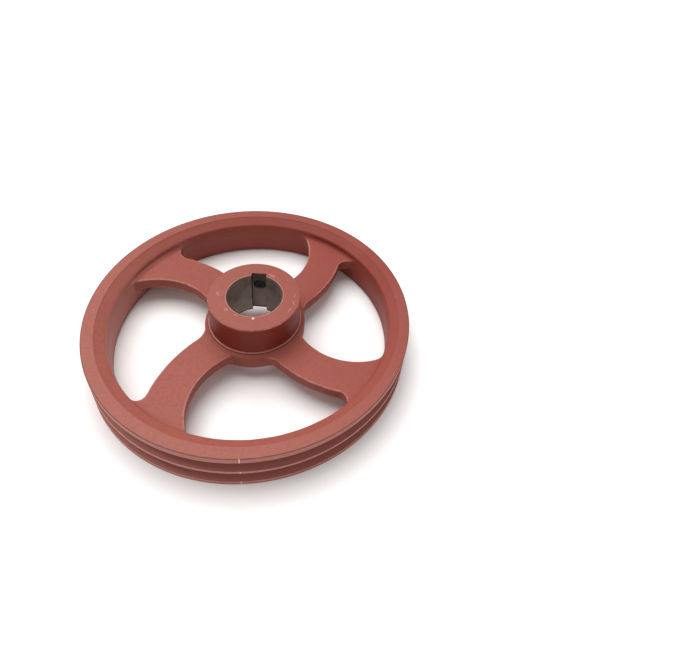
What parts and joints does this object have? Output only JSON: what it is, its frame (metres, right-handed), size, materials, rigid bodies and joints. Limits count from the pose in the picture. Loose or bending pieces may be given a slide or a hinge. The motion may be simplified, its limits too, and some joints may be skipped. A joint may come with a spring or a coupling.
{
  "type": "v belt pulley",
  "caption": "Cast-iron V-belt pulley with A-section grooves, curved arms and an offset hub bored and keyed for a shaft, locked by a set screw over the key.",
  "frame": {"origin": "on the shaft axis, in the plane of the rim's rear face", "axes": "+Z along the shaft axis, out of the hub's nose; +Y towards the keyway and the set screw over it"},
  "size_m": [0.2554, 0.2554, 0.0565],
  "materials": {
    "red_oxide_paint": "matt red-oxide primer over cast iron",
    "black_steel": "blackened steel"
  },
  "bodies": {
    "pulley": {"pulley_casting": "red_oxide_paint"},
    "screw": {"set_screw": "black_steel"}
  },
  "joints": [
    {"name": "set_screw_travel", "type": "slide", "parent": "pulley", "child": "screw", "axis": [0, 1, 0], "range_m": [-0.0006, 0.0114]}
  ]
}
